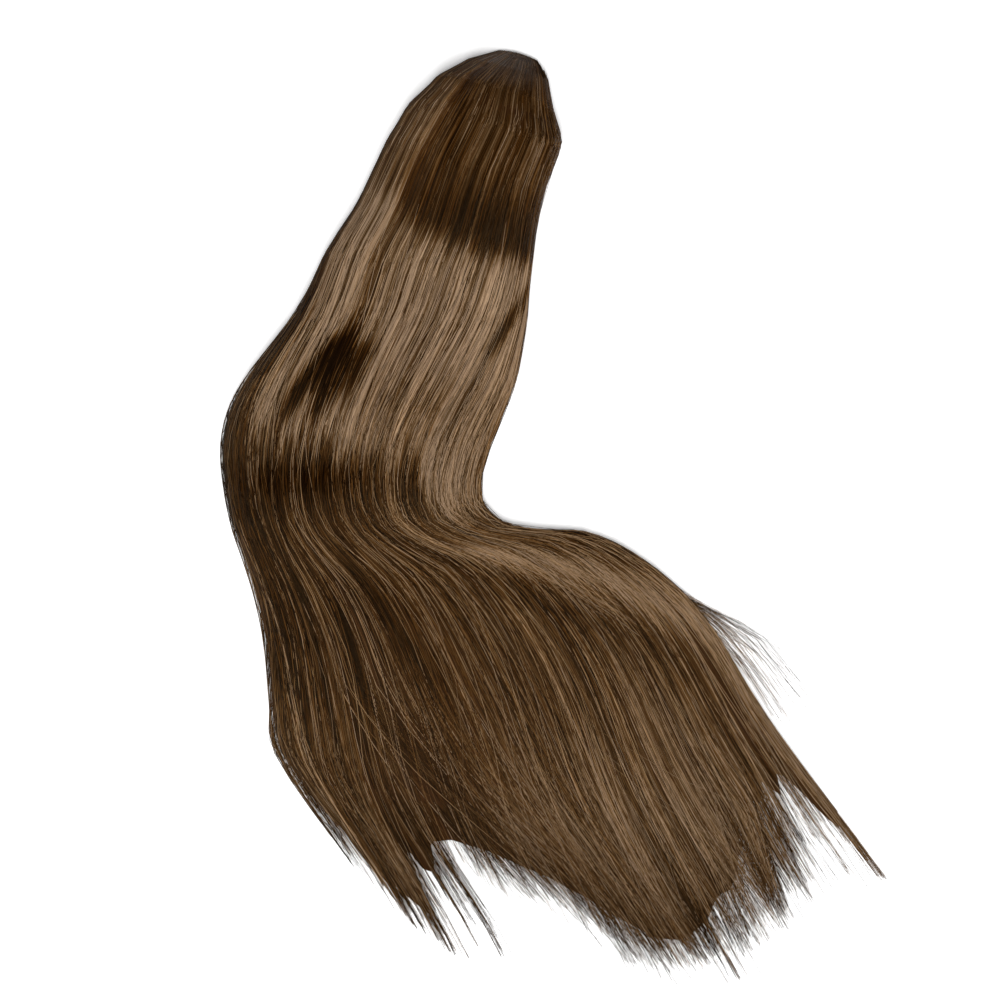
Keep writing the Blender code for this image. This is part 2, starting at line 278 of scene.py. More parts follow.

# Where the hair is lighter or darker than the rest, partly its own tone and partly painted light: painted shade
# in the band above the slope and the creases below it, and a little painted sheen: place, across, half length,
# half width, change
TONE_SHEEN_SHADE_PATCHES = (
    # Painted shade: the dark band above the slope, then the creases below it
    (0.088, 0.74, 0.011, 0.30, -0.44),
    (0.230, 0.32, 0.018, 0.30, -0.34),
    (0.238, 0.72, 0.014, 0.06, -0.44),
    (0.190, 0.72, 0.020, 0.22, -0.27),
    (0.040, 0.50, 0.036, 0.90, 0.27),
    (0.060, 0.22, 0.030, 0.14, 0.10),
    # A little painted sheen on the slope
    (0.147, 0.48, 0.030, 0.10, 0.04),
    (0.150, 0.12, 0.030, 0.06, -0.30),
    (0.405, 0.80, 0.050, 0.20, 0.33),
    (0.388, 0.48, 0.030, 0.10, 0.14),
    (0.350, 0.62, 0.030, 0.10, -0.02),
    (0.455, 0.50, 0.030, 0.22, -0.16),
    (0.350, 0.63, 0.030, 0.08, -0.14),
    (0.303, 0.30, 0.030, 0.08, -0.10),
    (0.388, 0.36, 0.030, 0.08, -0.10),
    (0.186, 0.73, 0.030, 0.12, -0.05),
    (0.145, 0.05, 0.045, 0.08, -0.22),
)

# Locks that are lighter or darker than the rest, partly their own tone and partly painted light: a painted
# sheen on the sweep, and painted shade under it, at the right notch and in the dip: change, half width, then
# place and across along the lock
TONE_SHEEN_SHADE_LOCKS = (
    # The sweep, painted lighter, partly a painted sheen
    (0.60, 0.052, ((0.270, 0.64), (0.282, 0.71), (0.294, 0.80), (0.309, 0.88), (0.329, 0.94), (0.362, 1.02))),
    # Painted shadow under the sweep
    (
        -0.34,
        0.030,
        ((0.285, 0.60), (0.300, 0.65), (0.316, 0.73), (0.330, 0.80), (0.346, 0.88), (0.358, 0.96)),
    ),
    (-0.30, 0.024, ((0.232, 0.46), (0.250, 0.51), (0.260, 0.55), (0.277, 0.60), (0.290, 0.63))),
    (-0.32, 0.020, ((0.245, 0.42), (0.272, 0.335), (0.295, 0.327), (0.318, 0.347), (0.345, 0.362))),
    (-0.28, 0.020, ((0.212, 0.17), (0.234, 0.18), (0.247, 0.187), (0.280, 0.165))),
    (
        0.10,
        0.030,
        ((0.235, 0.27), (0.268, 0.187), (0.289, 0.182), (0.320, 0.14), (0.352, 0.13), (0.39, 0.12)),
    ),
    (0.18, 0.012, ((0.290, 0.27), (0.307, 0.25), (0.330, 0.24), (0.356, 0.22), (0.385, 0.21))),
    (-0.28, 0.012, ((0.280, 0.228), (0.301, 0.22), (0.321, 0.212), (0.345, 0.20))),
    (-0.26, 0.070, ((0.230, 0.09), (0.260, 0.10), (0.289, 0.095), (0.315, 0.05), (0.350, 0.065))),
    # Painted shade where the hair overlaps at the right notch
    (
        -0.90,
        0.034,
        ((0.106, 1.00), (0.115, 0.96), (0.128, 0.90), (0.142, 0.857), (0.154, 0.835), (0.168, 0.82)),
    ),
    (
        -0.45,
        0.020,
        ((0.175, 1.00), (0.196, 1.00), (0.210, 1.00), (0.223, 0.995), (0.240, 0.99), (0.262, 0.98)),
    ),
    (-0.35, 0.007, ((0.128, 0.52), (0.138, 0.527), (0.156, 0.547), (0.168, 0.55))),
    # Painted shade in the dip on the slope, in four locks
    (
        -0.98,
        0.033,
        ((0.146, 0.300), (0.156, 0.285), (0.168, 0.272), (0.178, 0.250), (0.187, 0.233), (0.203, 0.21)),
    ),
    (-0.92, 0.032, ((0.144, 0.345), (0.156, 0.335), (0.168, 0.322), (0.178, 0.303), (0.190, 0.275))),
    (-0.80, 0.030, ((0.152, 0.395), (0.166, 0.383), (0.177, 0.363), (0.188, 0.335), (0.203, 0.30))),
    (-0.50, 0.018, ((0.150, 0.445), (0.163, 0.430), (0.176, 0.410), (0.190, 0.385))),
    (-0.28, 0.030, ((0.010, 0.35), (0.028, 0.372), (0.049, 0.417), (0.070, 0.46))),
    (-0.22, 0.030, ((0.180, -0.02), (0.200, 0.0), (0.230, 0.01), (0.260, 0.0))),
)

# Where the hair is dull: place, across, half length, half width, added roughness
DULL_PATCHES = (
    (0.000, 0.50, 0.014, 1.00, 0.40),
    (0.176, 0.32, 0.020, 0.13, 0.40),
    (0.190, 0.72, 0.020, 0.25, 0.12),
)

# Colours, scene linear, from the darkest tone to the palest
GOLDEN_BROWNS = (
    (0.00, (0.0060, 0.0018, 0.0003, 1.0)),
    (0.25, (0.0255, 0.0084, 0.0010, 1.0)),
    (0.50, (0.0690, 0.0240, 0.0034, 1.0)),
    (0.75, (0.1720, 0.0770, 0.0200, 1.0)),
    (1.00, (0.4000, 0.2450, 0.1200, 1.0)),
)
ASH_BROWNS = (
    (0.00, (0.0060, 0.0021, 0.0004, 1.0)),
    (0.25, (0.0235, 0.0090, 0.0016, 1.0)),
    (0.50, (0.0635, 0.0285, 0.0078, 1.0)),
    (0.75, (0.1600, 0.0925, 0.0420, 1.0)),
    (1.00, (0.3900, 0.2650, 0.1680, 1.0)),
)
SHEEN_TINT = (1.0, 0.66, 0.34, 1.0)
STRAND_ROUGHNESS = 0.22
HAIR_INDEX = 1.55
CLAW_BROWNS = (
    (0.30, (0.012, 0.006, 0.003, 1.0)),
    (0.55, (0.020, 0.011, 0.006, 1.0)),
    (0.75, (0.038, 0.020, 0.010, 1.0)),
)

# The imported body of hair: how far it lies under the strands and inside their edges, its columns and rows, how
# thin it gets at its tips, the points of its arch over the claw, and the angle from which an edge is sharp
BODY_SUNK = 0.0014
BODY_DRAWN_IN = 0.0012
BODY_COLUMNS = 41
BODY_CLAW_ROWS = 14
BODY_FALL_ROWS = 44
BODY_TIP_ROWS = 8
BODY_TIP_THIN = 0.15
BODY_TIP_LEAST = 0.0005
ARCH_POINTS = 401
BODY_SHARP_ANGLE = math.radians(50)

# Camera, light and floor
PHOTO_SIDE = 0.500
PHOTO_MIDDLE = (-0.0220, 0.0065)
LENS = 300.0
SENSOR = 36.0
LIGHT_REACH = 2.4
LIGHT_LIFT = math.radians(77)
LIGHT_SIZE = 1.3
LIGHT_POWER = 68.0
ROOM_LIGHT = 0.12
FLOOR_SIDE = 6.0
FLOOR_DROP = 0.0002
FLOOR_GLOW = 0.25
WHITE = (1.0, 1.0, 1.0, 1.0)

DOWN_HEAD = np.array((-math.sin(HEAD_LEAN), -math.cos(HEAD_LEAN)))
ACROSS_HEAD = np.array((math.cos(HEAD_LEAN), -math.sin(HEAD_LEAN)))
HEAD_FOOT = HEAD_LENGTH * DOWN_HEAD


def hair_sections():
    """The sections from the crown to the tips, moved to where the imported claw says, and their places."""
    low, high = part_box("claw_clip")
    claw_middle = (HAIR_END + CLAW_LENGTH / 2) * DOWN_HEAD - CLAW_ASIDE * ACROSS_HEAD
    shift = np.array(((low.x + high.x) / 2, (low.y + high.y) / 2)) - claw_middle
    rows = []
    for along, left, right, height in HEAD_SECTIONS:
        down = along * HEAD_LENGTH * DOWN_HEAD + shift
        left_point = down + left * HEAD_WIDTH * ACROSS_HEAD
        right_point = down + right * HEAD_WIDTH * ACROSS_HEAD
        bow = -CROWN_BOW * max(0.0, 1 - along / 0.08)
        rows.append((*left_point, *right_point, bow, height * CROWN_HEIGHT))
    for left_x, left_y, right_x, right_y, bow, height in FALL_SECTIONS:
        left_point = HEAD_FOOT + shift + (left_x * FALL_WIDTH, -left_y * FALL_LENGTH)
        right_point = HEAD_FOOT + shift + (right_x * FALL_WIDTH, -right_y * FALL_LENGTH)
        rows.append((*left_point, *right_point, bow * FALL_LENGTH, height * CROWN_HEIGHT))
    rows = np.array(rows)
    in_head = np.array([section[0] * HEAD_LENGTH for section in HEAD_SECTIONS])
    middles = (rows[:, 0:2] + rows[:, 2:4]) / 2
    steps = np.linalg.norm(np.diff(middles[len(in_head) - 1 :], axis=0), axis=1)
    return shift, rows, np.concatenate((in_head, in_head[-1] + np.cumsum(steps)))


SHIFT, ROWS, PLACES = hair_sections()
BEND_PLACE = PLACES[len(HEAD_SECTIONS) + BEND_INDEX]
SPLIT_PLACE = PLACES[SPLIT_INDEX]
LAST_PLACE = PLACES[-1]
TIP_PLACE = SPLIT_PLACE + LONGEST_REACH * (LAST_PLACE - SPLIT_PLACE)


def slopes():
    ahead = np.minimum(np.arange(len(PLACES)) + 1, len(PLACES) - 1)
    behind = np.maximum(np.arange(len(PLACES)) - 1, 0)
    return (ROWS[ahead] - ROWS[behind]) / (PLACES[ahead] - PLACES[behind])[:, None]


SLOPES = slopes()


def smooth(value):
    """0 below 0, 1 above 1, and an even S between."""
    value = np.clip(value, 0.0, 1.0)
    return value * value * (3 - 2 * value)


def section_at(place):
    """Sections at an array of places, on a smooth curve through the rows."""
    i = np.clip(np.searchsorted(PLACES, place) - 1, 0, len(PLACES) - 2)
    span = (PLACES[i + 1] - PLACES[i])[..., None]
    s = (place - PLACES[i])[..., None] / span
    start = (1 + 2 * s) * (1 - s) ** 2 * ROWS[i] + s * (1 - s) ** 2 * span * SLOPES[i]
    end = s * s * (3 - 2 * s) * ROWS[i + 1] + s * s * (s - 1) * span * SLOPES[i + 1]
    beyond = ROWS[-1] + SLOPES[-1] * (place - LAST_PLACE)[..., None]
    return np.where(s > 1, beyond, start + end)


def spread_at(place):
    """0 over the claw, where the hair is a round dome, and 1 from the bend on."""
    return smooth((place - HEAD_LENGTH) / (BEND_PLACE - HEAD_LENGTH))


def pressed(place, share):
    """How deep the dips press the hair, in metres."""
    depth = np.zeros(np.broadcast(place, share).shape)
    for down, across, half_length, half_width, share_deep in DIPS:
        far = (place - HEAD_LENGTH - down * FALL_LENGTH) / (half_length * FALL_LENGTH)
        aside = (share - across) / half_width
        depth = depth + share_deep * CROWN_HEIGHT * np.exp(-far * far - aside * aside)
    return depth


def hair_top(place, share, sunk=0.0, drawn_in=0.0):
    """Points on the hair's upper surface. Sunk lowers them and drawn_in takes them off both edges."""
    place, share = np.broadcast_arrays(np.asarray(place, float), np.asarray(share, float))
    section = section_at(place)
    left, right = section[..., 0:2], section[..., 2:4]
    bow, height = section[..., 4:5], section[..., 5]
    width = np.linalg.norm(right - left, axis=-1, keepdims=True)
    chord = (right - left) / width
    ahead = np.stack((chord[..., 1], -chord[..., 0]), axis=-1)
    spread = spread_at(place)
    rounded = -np.cos(math.pi * np.clip(share, 0, 1)) + 2 * (share - np.clip(share, 0, 1))
    across = spread * (2 * share - 1) + (1 - spread) * rounded
    roundness = HEAD_ROUNDNESS + (FALL_ROUNDNESS - HEAD_ROUNDNESS) * spread
    rise = (1 - np.minimum(abs(across), 1) ** roundness) ** (1 / roundness)
    flat = 1 - TIP_FLATTER * smooth((place - SPLIT_PLACE) / (TIP_PLACE - SPLIT_PLACE))
    z = EDGE_THICKNESS + (height * flat - EDGE_THICKNESS) * rise
    z = np.maximum(z - pressed(place, share) * rise - sunk, np.minimum(EDGE_THICKNESS, z))
    half = width / 2 - drawn_in
    plan = (left + right) / 2 + across[..., None] * half * chord
    plan = plan + bow * (1 - across * across)[..., None] * ahead
    return np.concatenate((plan, z[..., None]), axis=-1)


# How the strands' points are shared out along the hair: place, and points per metre against the rest
POINT_SHARES = (
    (0.000, 2.5),
    (0.012, 1.6),
    (0.030, 0.8),
    (0.080, 0.9),
    (0.090, 1.9),
    (0.108, 1.7),
    (0.122, 1.1),
    (0.150, 1.4),
    (0.200, 1.7),
    (0.225, 1.8),
    (0.245, 1.3),
    (0.300, 1.1),
    (0.350, 0.9),
    (TIP_PLACE, 0.8),
)


def down_of_place():
    """Pairs of place and its number down the hair, from 0 at the crown to 1 past the longest tip."""
    places = np.linspace(0.0, TIP_PLACE, 400)
    known = np.array(POINT_SHARES)
    weights = np.interp(places, known[:, 0], known[:, 1])
    numbers = np.concatenate(((0.0,), np.cumsum((weights[1:] + weights[:-1]) / 2)))
    return places, numbers / numbers[-1]


FLOW_PLACES, FLOW_NUMBERS = down_of_place()


def down_at(place):
    return np.interp(place, FLOW_PLACES, FLOW_NUMBERS)


def place_at(down):
    return np.interp(down, FLOW_NUMBERS, FLOW_PLACES)


def lock_at(share):
    """Where the strands at each share of the width end: across, number down the hair, and the taper."""
    end = share.copy()
    tapers = np.full(len(share), USUAL_TAPER)
    for first, last, point, taper in POINTED_LOCKS:
        inside = (share >= first) & (share < last)
        end[inside] = point
        tapers[inside] = taper
    return end, down_at(np.interp(share, *zip(*STRAND_TIPS))), tapers


def patches(place, share, rows):
    """Soft patches, added up."""
    total = 0.0
    for patch_place, patch_share, half_length, half_width, amount in rows:
        far = (place - patch_place) / half_length
        aside = (share - patch_share) / half_width
        total = total + amount * np.exp(-far * far - aside * aside)
    return total


def tone_sheen_and_shade(place, share):
    """How much lighter or darker the hair is at a place than elsewhere: its own tone, a painted sheen on the
    slope, and painted shade.
    """
    # Painted sheen: the slope between the folds is painted paler, with ragged edges
    uneven = 0.0024 * np.sin(61 * share) + 0.0020 * np.sin(143 * share + 1) + 0.0018 * np.sin(331 * share)
    start = np.interp(share, *zip(*SHEEN_PAINT_START)) + uneven
    end = np.interp(share, *zip(*SHEEN_PAINT_END)) + 2 * uneven
    pale = smooth((place - start) / SHEEN_PAINT_FADE_IN) * smooth((end - place) / SHEEN_PAINT_FADE_OUT)
    change = SHEEN_PAINT_CHANGE * pale * smooth((share - 0.02) / 0.12)
    for amount, half_width, path in TONE_SHEEN_SHADE_LOCKS:
        places, shares = np.array(path).T
        aside = (share - np.interp(place, places, shares)) / half_width
        begins = smooth((place - places[0]) / LOCK_FADE_IN)
        ends = smooth((places[-1] - place) / LOCK_FADE_OUT)
        change = change + amount * (begins * ends) * np.exp(-aside * aside)
    return change + patches(place, share, TONE_SHEEN_SHADE_PATCHES)


def grid_faces(rows, columns):
    corner = np.arange(rows * columns).reshape(rows, columns)
    quads = (corner[:-1, :-1], corner[1:, :-1], corner[1:, 1:], corner[:-1, 1:])
    return np.stack(quads, axis=-1).reshape(-1, 4)


def flow_mesh():
    """The surface that the strands follow. Its UV map runs across the hair and down it."""
    inside = (1 - np.cos(np.linspace(0, math.pi, FLOW_COLUMNS))) / 2
    aside = np.linspace(0, SIDE_ROOM, FLOW_SIDE_COLUMNS + 1)[1:]
    shares = np.concatenate((-aside[::-1], inside, 1 + aside))
    downs = np.linspace(0, 1, FLOW_ROWS)
    points = hair_top(place_at(downs)[:, None], shares[None, :])
    mesh = bpy.data.meshes.new("hair flow")
    faces = grid_faces(len(downs), len(shares))
    mesh.from_pydata(points.reshape(-1, 3).tolist(), [], faces.tolist())
    across, down = np.meshgrid((shares + SIDE_ROOM) / (1 + 2 * SIDE_ROOM), downs)
    flow = np.stack((across.ravel(), down.ravel()), axis=-1)[faces.ravel()]
    mesh.uv_layers.new(name="flow").data.foreach_set("uv", flow.ravel().astype(np.float32))
    middle, tip, taper = lock_at(np.tile(shares, len(downs)))
    change = tone_sheen_and_shade(place_at(downs)[:, None], shares[None, :]).ravel()
    dull = patches(place_at(downs)[:, None], shares[None, :], DULL_PATCHES).ravel()
    stored = {
        "lock_middle": middle,
        "lock_tip": tip,
        "lock_taper": taper,
        "tone_sheen_and_shade": change,
        "dull": dull,
    }
    for name, values in stored.items():
        mesh.attributes.new(name, "FLOAT", "POINT").data.foreach_set("value", values.astype(np.float32))
    return mesh


class Socket:
    """An output of a node. Sums on it add Math nodes to its tree."""

    def __init__(self, net, output):
        self.net, self.output = net, output

    def __add__(self, other):
        return self.net.maths("ADD", self, other)

    def __radd__(self, other):
        return self.net.maths("ADD", other, self)

    def __sub__(self, other):
        return self.net.maths("SUBTRACT", self, other)

    def __rsub__(self, other):
        return self.net.maths("SUBTRACT", other, self)

    def __mul__(self, other):
        return self.net.maths("MULTIPLY", self, other)

    def __rmul__(self, other):
        return self.net.maths("MULTIPLY", other, self)

    def __truediv__(self, other):
        return self.net.maths("DIVIDE", self, other)

    def __pow__(self, other):
        return self.net.maths("POWER", self, other)


class Net:
    """A node tree, for a material or for geometry."""

    def __init__(self, tree):
        self.tree = tree

    def node(self, kind, settings=None, sockets=None):
        """Adds a node: its settings are set first, then its sockets get values or links."""
        node = self.tree.nodes.new(kind)
        for name, value in (settings or {}).items():
            setattr(node, name, value)
        for key, value in (sockets or {}).items():
            socket = self.find(node.inputs, key)
            if isinstance(value, Socket):
                self.tree.links.new(value.output, socket)
            else:
                socket.default_value = value
        return Node(self, node)

    def find(self, sockets, key):
        if isinstance(key, int):
            return sockets[key]
        return next(s for s in sockets if s.name == key and s.enabled)

    def maths(self, operation, *values):
        sockets = dict(enumerate(values))
        return self.node("ShaderNodeMath", {"operation": operation}, sockets)["Value"]

    def smooth_step(self, value, low, high):
        """0 where value is below low, 1 above high."""
        sockets = {"Value": value, "From Min": low, "From Max": high}
        return self.node("ShaderNodeMapRange", {"interpolation_type": "SMOOTHSTEP"}, sockets)["Result"]

    def noise(self, vector, scale, detail=2.0, roughness=0.5):
        sockets = {"Vector": vector, "Scale": scale, "Detail": detail, "Roughness": roughness}
        return self.node("ShaderNodeTexNoise", None, sockets)

    def vector(self, x=0.0, y=0.0, z=0.0):
        return self.node("ShaderNodeCombineXYZ", None, {"X": x, "Y": y, "Z": z})["Vector"]


class Node:
    """A node whose outputs are read by name or number."""

    def __init__(self, net, made):
        self.net, self.made = net, made

    def __getitem__(self, key):
        return Socket(self.net, self.net.find(self.made.outputs, key))


STRAND_INPUTS = (
    ("Strands", "NodeSocketInt", 100),
    ("Points", "NodeSocketInt", 20),
    ("Across from", "NodeSocketFloat", 0.0),
    ("Across to", "NodeSocketFloat", 1.0),
    ("Start from", "NodeSocketFloat", 0.0),
    ("Start to", "NodeSocketFloat", 0.0),
    ("Fray", "NodeSocketFloat", 0.10),
    ("Longer by", "NodeSocketFloat", 0.0),
    ("Tufts", "NodeSocketFloat", 70.0),
    ("Gather", "NodeSocketFloat", 0.6),
    ("Wander", "NodeSocketFloat", 0.012),
    ("Stray", "NodeSocketFloat", 0.0),
    ("Sweep to", "NodeSocketFloat", 0.0),
    ("Sweep share", "NodeSocketFloat", 0.0),
    ("Sweep start", "NodeSocketFloat", 0.5),
    ("Sweep end", "NodeSocketFloat", 0.8),
    ("Out", "NodeSocketFloat", 0.012),
    ("Depth", "NodeSocketFloat", 0.0026),
    ("Lift", "NodeSocketFloat", 0.0),
    ("Tone", "NodeSocketFloat", 0.0),
    ("Radius", "NodeSocketFloat", STRAND_RADIUS),
    ("Seed", "NodeSocketInt", 1),
    ("Material", "NodeSocketMaterial", None),
)


def strand_tree():
    """Geometry nodes that lay strands along the flow surface, each a thin closed tube."""
    tree = bpy.data.node_groups.new("strands", "GeometryNodeTree")
    tree.interface.new_socket("Geometry", in_out="INPUT", socket_type="NodeSocketGeometry")
    for name, kind, value in STRAND_INPUTS:
        made = tree.interface.new_socket(name, in_out="INPUT", socket_type=kind)
        if value is not None:
            made.default_value = value
    tree.interface.new_socket("Geometry", in_out="OUTPUT", socket_type="NodeSocketGeometry")
    net = Net(tree)
    given = net.node("NodeGroupInput")
    seed = given["Seed"]

    def named(name):
        sockets = {"Name": name}
        return net.node("GeometryNodeInputNamedAttribute", {"data_type": "FLOAT"}, sockets)["Attribute"]

    def store(geometry, name, value, domain="POINT"):
        settings = {"data_type": "FLOAT", "domain": domain}
        sockets = {"Geometry": geometry, "Name": name, "Value": value}
        return net.node("GeometryNodeStoreNamedAttribute", settings, sockets)["Geometry"]

    strand = named("strand")
    along = named("along")

    def chance(number, low=0.0, high=1.0, of=None):
        """A random number for each strand, or for each value of another field."""
        sockets = {"Min": low, "Max": high, "ID": of or strand, "Seed": seed * 37.0 + float(number)}
        return net.node("FunctionNodeRandomValue", {"data_type": "FLOAT"}, sockets)["Value"]

    def sway(x, y, number):
        """Smooth noise from -0.5 to 0.5."""
        return net.noise(net.vector(x, y, seed + float(number)), 1.0, 1.0)["Fac"] - 0.5

    def sample(value, kind, across, down):
        """A value of the flow surface at a place across and down the hair."""
        flow = net.vector((across + SIDE_ROOM) / (1 + 2 * SIDE_ROOM), down)
        settings = {"data_type": "FLOAT_VECTOR"}
        flow_map = net.node("GeometryNodeInputNamedAttribute", settings, {"Name": "flow"})
        sockets = {
            "Mesh": given["Geometry"],
            "Value": value,
            "UV Map": flow_map["Attribute"],
            "Sample UV": flow,
        }
        return net.node("GeometryNodeSampleUVSurface", {"data_type": kind}, sockets)["Value"]

    line = net.node("GeometryNodeCurvePrimitiveLine", None, {"End": (0.0, 0.0, 1.0)})["Curve"]
    sockets = {"Curve": line, "Count": given["Points"]}
    line = net.node("GeometryNodeResampleCurve", None, sockets)["Curve"]
    line = store(line, "along", net.node("GeometryNodeSplineParameter")["Factor"])
    sockets = {"Geometry": line, "Amount": given["Strands"]}
    copies = net.node("GeometryNodeDuplicateElements", {"domain": "SPLINE"}, sockets)
    curves = store(copies["Geometry"], "strand", copies["Duplicate Index"], "CURVE")

    # Across the hair: the strands in the middle turn in towards the longest tips
    width = given["Across to"] - given["Across from"]
    root = given["Across from"] + width * (strand + chance(1)) / given["Strands"]
    turns = net.maths("LESS_THAN", chance(20), TURN_CHANCE * net.smooth_step(root, 0.12, 0.30))
    turns = turns * (1.0 - net.smooth_step(root, 0.60, 0.80))
    turn = turns * (TURN_TO - root) * (TURN_SHARE + TURN_MORE * chance(27))
    last = root + turn
    tuft = net.maths("FLOOR", last * given["Tufts"] + chance(2, -0.35, 0.35))
    tuft_middle = (tuft + chance(3, 0.2, 0.8, tuft)) / given["Tufts"]

    # Down the hair
    lock_tip = sample(named("lock_tip"), "FLOAT", last, 0.5)
    lock_middle = sample(named("lock_middle"), "FLOAT", last, 0.5)
    lock_taper = sample(named("lock_taper"), "FLOAT", last, 0.5)
    tip = lock_tip + chance(4, -0.020, 0.016, tuft) + given["Longer by"] - given["Fray"] * chance(5) ** 2.5
    start = given["Start from"] + (given["Start to"] - given["Start from"]) * chance(7)
    down = net.maths("MINIMUM", start + (tip - start) * along, 0.998)

    # Its own way: waves that neighbours share, waves of its own, and crossing
    loose = net.smooth_step(down, 0.05, 0.75)
    wander = sway(root * 9.0, down * 2.2, 0) * 2.2 + sway(root * 60.0, down * 5.0, 3) * 1.4
    wander = (wander + sway(strand * 3.71, down * 7.0, 7) * 2.0) * given["Wander"] * (0.30 + 0.70 * loose)
    group = net.maths("FLOOR", root * GROUPS + chance(16, -0.6, 0.6))
    spread = net.smooth_step(down, 0.35, 1.0) - 0.25 * net.smooth_step(down, 0.0, 0.3)
    wander = wander + chance(17, -0.5, 0.5, group) * GROUP_SPREAD * spread
    stray = chance(8, -1.0, 1.0) ** 3.0 * given["Stray"] * (down - start)
    share = root + wander + stray + turn * net.smooth_step(down, down_at(TURN_START), down_at(TURN_END))
    swept = net.smooth_step(down, given["Sweep start"], given["Sweep end"]) * given["Sweep share"]
    share = share + (given["Sweep to"] + chance(9, -0.06, 0.02) - root) * swept

    # Locks draw in towards their tips, and so do the tufts in them
    to_tip = net.smooth_step((down - lock_tip) / lock_taper, -1.0, 0.0)
    share = share + (lock_middle - last) * 1.2 * to_tip * given["Gather"]
    near_tip = net.smooth_step(down - lock_tip, -0.10, 0.02)
    share = share + (tuft_middle - last) * near_tip * given["Gather"]
    leftmost = -0.002 - 0.012 * chance(28) * net.smooth_step(down, down_at(0.350), down_at(0.380))
    outwards = given["Out"] * (0.15 + 0.85 * chance(26))
    rightmost = 0.994 + (outwards - 0.010) * net.smooth_step(down, down_at(0.330), down_at(0.370))
    share = net.maths("MAXIMUM", net.maths("MINIMUM", share, rightmost), leftmost)

    # How deep it lies
    position = net.node("GeometryNodeInputPosition")["Position"]
    normal = net.node("GeometryNodeInputNormal")["Normal"]
    point = sample(position, "FLOAT_VECTOR", share, down)
    outward = sample(normal, "FLOAT_VECTOR", share, down)
    depth = chance(10) ** 1.5 + sway(strand * 1.93, down * 3.0, 11) * 0.5
    depth = given["Depth"] * (depth + 0.6 * chance(18, 0.0, 1.0, group) * loose)
    later_start = net.maths("GREATER_THAN", start, 0.02)
    sunk_start = 0.0025 * later_start * (1.0 - net.smooth_step(along, 0.0, 0.12))
    sockets = {0: outward, "Scale": 0.0 - depth - sunk_start}
    off = net.node("ShaderNodeVectorMath", {"operation": "SCALE"}, sockets)["Vector"]
    point = net.node("ShaderNodeVectorMath", {"operation": "ADD"}, {0: point, 1: off})["Vector"]
    parts = net.node("ShaderNodeSeparateXYZ", None, {"Vector": point})
    clear = given["Radius"] + GROUND_ROOM + 0.0008 * chance(12)
    lift = given["Lift"] * net.maths("SINE", along * math.pi) * chance(11)
    point = net.vector(parts["X"], parts["Y"], net.maths("MAXIMUM", parts["Z"] + lift, clear))

    # Its tone, which carries the painted sheen and shade of the flow surface, and painted shade on the deep
    # strands
    change = sample(named("tone_sheen_and_shade"), "FLOAT", share, down)
    streaks = sway(root * 22.0, down * 1.0, 17) * 1.2 + sway(root * 80.0, down * 1.5, 19) * 1.9
    streaks = streaks + sway(root * 230.0, down * 2.0, 21) * 2.0 + chance(22, -0.10, 0.10, group)
    tone_and_painted_light = change * chance(24, 0.6, 1.4)
    # Painted shade: the deeper strands (chance 10 sets the depth) are darker
    uneven = TONE_SPREAD * chance(13) - DEEP_PAINTED_SHADE * chance(10) + streaks
    calm = HEAD_CALM + (1.0 - HEAD_CALM) * net.smooth_step(down, 0.12, 0.34)
    tone = MEAN_TONE + uneven * calm + tone_and_painted_light + given["Tone"]
    warmth = MEAN_WARMTH + sway(root * 14.0, down * 1.2, 23) * 2.2 + chance(15, -0.50, 0.50)
    ashy = PALE_ASHY - FAN_LESS_ASHY * net.smooth_step(down, down_at(0.250), down_at(0.285))
    # Hair painted paler, mostly the painted sheen, is made ashier
    warmth = warmth - ashy * net.maths("MAXIMUM", change, 0.0)
    curves = store(curves, "tone", tone)
    curves = store(curves, "warmth", warmth)
    curves = store(curves, "dull", sample(named("dull"), "FLOAT", share, down))
    curves = store(curves, "down_hair", down)
    curves = net.node("GeometryNodeSetPosition", None, {"Geometry": curves, "Position": point})["Geometry"]

    # The tube, with a cell of its own in the UV map for each strand
    thick = given["Radius"] * chance(14, 0.65, 1.15)
    thick = thick * (1.0 - TIP_THINNING * net.smooth_step(along, 0.75, 1.0))
    circle_radius = 4
    sockets = {"Resolution": TUBE_SIDES, circle_radius: 1.0}
    circle = net.node("GeometryNodeCurvePrimitiveCircle", {"mode": "RADIUS"}, sockets)["Curve"]
    circle = store(circle, "around", net.node("GeometryNodeSplineParameter")["Factor"])
    sockets = {"Curve": curves, "Profile Curve": circle, "Scale": thick, "Fill Caps": True}
    tubes = net.node("GeometryNodeCurveToMesh", None, sockets)["Mesh"]
    row = net.maths("FLOOR", strand / UV_COLUMNS)
    column = strand - row * UV_COLUMNS
    around = net.maths("MINIMUM", named("around") * 1.5, 1.0)
    across_cell = (column + CELL_SIDE + (1 - 2 * CELL_SIDE) * around) / UV_COLUMNS
    down_cell = row + CELL_END + (1 - 2 * CELL_END) * named("along")
    down_cell = down_cell / (given["Strands"] / UV_COLUMNS + 1.0)
    settings = {"data_type": "FLOAT2", "domain": "CORNER"}
    sockets = {"Geometry": tubes, "Name": "OFBake", "Value": net.vector(across_cell, down_cell)}
    tubes = net.node("GeometryNodeStoreNamedAttribute", settings, sockets)["Geometry"]
    tubes = net.node("GeometryNodeSetShadeSmooth", None, {"Geometry": tubes})["Geometry"]
    sockets = {"Geometry": tubes, "Material": given["Material"]}
    tubes = net.node("GeometryNodeSetMaterial", None, sockets)["Geometry"]
    tubes = net.node("GeometryNodeRealizeInstances", None, {"Geometry": tubes})["Geometry"]
    net.node("NodeGroupOutput", None, {"Geometry": tubes})
    return tree


